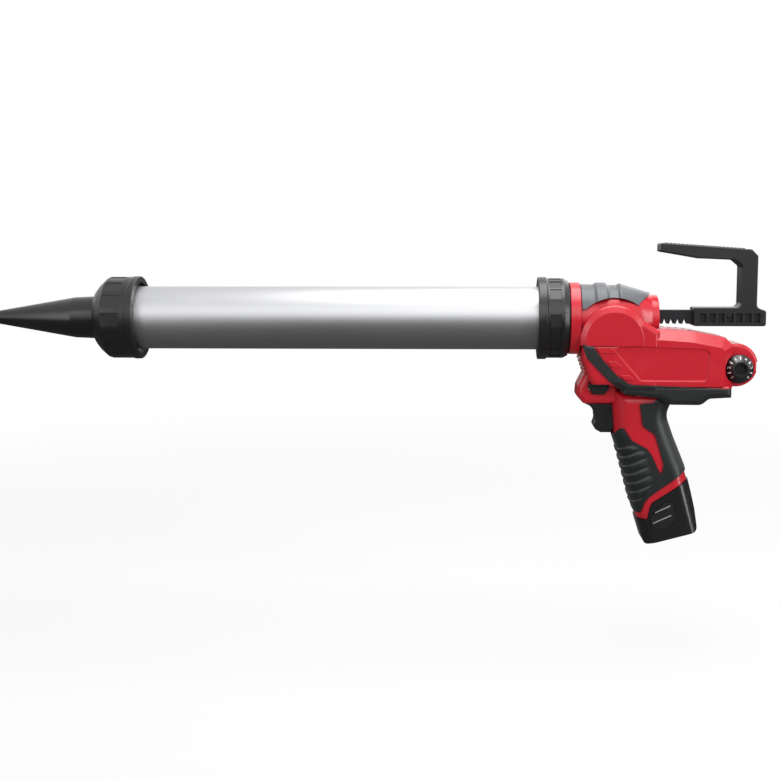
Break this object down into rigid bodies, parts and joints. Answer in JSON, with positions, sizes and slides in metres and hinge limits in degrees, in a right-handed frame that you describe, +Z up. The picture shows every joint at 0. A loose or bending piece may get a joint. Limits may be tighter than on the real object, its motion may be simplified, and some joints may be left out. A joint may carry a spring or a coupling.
{
  "type": "cordless caulking tool",
  "caption": "Battery caulking gun: metal pack barrel with screw-on nozzle and collar, toothed push rod with hook handle, geared housing with pistol grip, trigger, lock button and speed dial.",
  "frame": {"origin": "middle of the hand grip, on the grip's own axis and in the tool's mid-plane", "axes": "+Z up, the nozzle points along -X, the left side with the speed dial faces -Y"},
  "size_m": [0.6768, 0.0716, 0.2579],
  "materials": {
    "red_plastic": "satin moulded plastic",
    "black_plastic": "satin moulded plastic",
    "black_rubber": "soft overmoulded grip",
    "grey_rubber": "soft overmoulded pad",
    "tube_metal": "satin drawn tube",
    "ring_metal": "turned",
    "dark_steel": "blackened",
    "bright_steel": "ground or plated",
    "bush_bronze": "sintered",
    "contact_brass": "stamped strip",
    "guide_nylon": "natural nylon",
    "board_green": "laminate",
    "cell_wrap": "shrink sleeve"
  },
  "bodies": {
    "frame": {"housing_left": "red_plastic", "housing_right": "red_plastic", "top_pad_left": "grey_rubber", "top_pad_right": "grey_rubber", "grip_rubber_left": "black_rubber", "grip_rubber_right": "black_rubber", "housing_screws": "dark_steel", "nose_sleeve": "ring_metal", "rod_guide_front": "guide_nylon", "rod_guide_rear": "guide_nylon", "rod_backing_pad": "guide_nylon", "cross_shaft_bushes": "bush_bronze", "lay_shaft_bushes": "bush_bronze", "reducer_case": "bright_steel", "motor_can": "bright_steel", "motor_end_cap": "black_plastic", "trigger_switch": "black_plastic", "trigger_spring": "bright_steel", "speed_potentiometer": "black_plastic", "control_board": "board_green", "handle_terminals": "black_plastic"},
    "rod": {"rack_rod": "dark_steel", "pull_handle": "black_plastic", "handle_pins": "bright_steel", "piston": "black_plastic", "piston_seal": "black_rubber", "piston_washer": "bright_steel", "piston_screw": "bright_steel"},
    "cross_gears": {"cross_shaft": "bright_steel", "rack_pinion": "bright_steel", "main_gear": "bright_steel"},
    "lay_gears": {"lay_shaft": "bright_steel", "lay_pinion": "bright_steel", "bevel_gear": "bright_steel"},
    "reducer_output": {"reducer_shaft": "bright_steel", "bevel_pinion": "bright_steel"},
    "rotor": {"motor_rotor": "bright_steel"},
    "trigger": {"trigger": "black_plastic"},
    "lock_button": {"lock_button": "black_plastic"},
    "speed_dial": {"speed_dial": "black_plastic"},
    "battery": {"battery_case": "black_plastic", "battery_lid": "black_plastic", "battery_contacts": "contact_brass", "battery_cells": "cell_wrap"},
    "latch_left": {"battery_latch_left": "black_plastic"},
    "latch_right": {"battery_latch_right": "black_plastic"},
    "barrel": {"barrel_tube": "tube_metal", "barrel_front_ring": "ring_metal", "barrel_rear_ring": "ring_metal"},
    "collar": {"rear_collar": "black_plastic"},
    "nozzle": {"nozzle": "black_plastic", "nozzle_gasket": "black_rubber"},
    "cap": {"front_cap": "black_plastic"}
  },
  "joints": [
    {"name": "rod_slide", "type": "slide", "parent": "frame", "child": "rod", "axis": [1, 0, 0], "range_m": [-0.029, 0.313]},
    {"name": "cross_gear_turn", "type": "hinge", "parent": "frame", "child": "cross_gears", "pos_m": [-0.0345, 0, 0.10175], "axis": [0, 1, 0], "range_deg": [-117, 1247]},
    {"name": "lay_gear_turn", "type": "hinge", "parent": "frame", "child": "lay_gears", "pos_m": [-0.01171, 0, 0.08], "axis": [0, 1, 0], "range_deg": [-3204, 298]},
    {"name": "reducer_output_turn", "type": "hinge", "parent": "frame", "child": "reducer_output", "pos_m": [0.0095, 0, 0.08], "axis": [1, 0, 0], "range_deg": [-595, 6406]},
    {"name": "rotor_spin", "type": "hinge", "parent": "frame", "child": "rotor", "pos_m": [0.042, 0, 0.08], "axis": [1, 0, 0], "continuous": true},
    {"name": "trigger_pull", "type": "slide", "parent": "frame", "child": "trigger", "axis": [1, 0, 0], "range_m": [0, 0.006], "stiffness_N_per_m": 900, "springref_m": -0.004, "deforming": ["trigger_spring"]},
    {"name": "lock_button_push", "type": "slide", "parent": "frame", "child": "lock_button", "axis": [0, 1, 0], "range_m": [0, 0.0036]},
    {"name": "speed_dial_turn", "type": "hinge", "parent": "frame", "child": "speed_dial", "pos_m": [0.0713, 0, 0.0777], "axis": [0, -1, 0], "range_deg": [0, 270]},
    {"name": "battery_slide", "type": "slide", "parent": "frame", "child": "battery", "axis": [0.2588, 0, -0.9659], "range_m": [0, 0.086]},
    {"name": "latch_left_press", "type": "slide", "parent": "battery", "child": "latch_left", "axis": [0, 1, 0], "range_m": [0, 0.0018], "stiffness_N_per_m": 1200, "springref_m": -0.002},
    {"name": "latch_right_press", "type": "slide", "parent": "battery", "child": "latch_right", "axis": [0, -1, 0], "range_m": [0, 0.0018], "stiffness_N_per_m": 1200, "springref_m": -0.002},
    {"name": "barrel_slide", "type": "slide", "parent": "frame", "child": "barrel", "axis": [-1, 0, 0], "range_m": [0, 0.012]},
    {"name": "collar_turn", "type": "hinge", "parent": "barrel", "child": "collar", "pos_m": [-0.0853, 0, 0.119], "axis": [-1, 0, 0], "range_deg": [0, 1080.5]},
    {"name": "nozzle_slide", "type": "slide", "parent": "barrel", "child": "nozzle", "axis": [-1, 0, 0], "range_m": [0, 0.012]},
    {"name": "front_cap_turn", "type": "hinge", "parent": "nozzle", "child": "cap", "pos_m": [-0.4605, 0, 0.119], "axis": [-1, 0, 0], "range_deg": [0, 1080.5]}
  ],
  "couplings": [
    {"joint": "cross_gear_turn", "follows": "rod_slide", "rad_per_m": 69.444},
    {"joint": "lay_gear_turn", "follows": "rod_slide", "rad_per_m": -178.57},
    {"joint": "reducer_output_turn", "follows": "rod_slide", "rad_per_m": 357.14},
    {"joint": "collar_turn", "follows": "barrel_slide", "rad_per_m": 1570.8},
    {"joint": "front_cap_turn", "follows": "nozzle_slide", "rad_per_m": 1570.8}
  ]
}
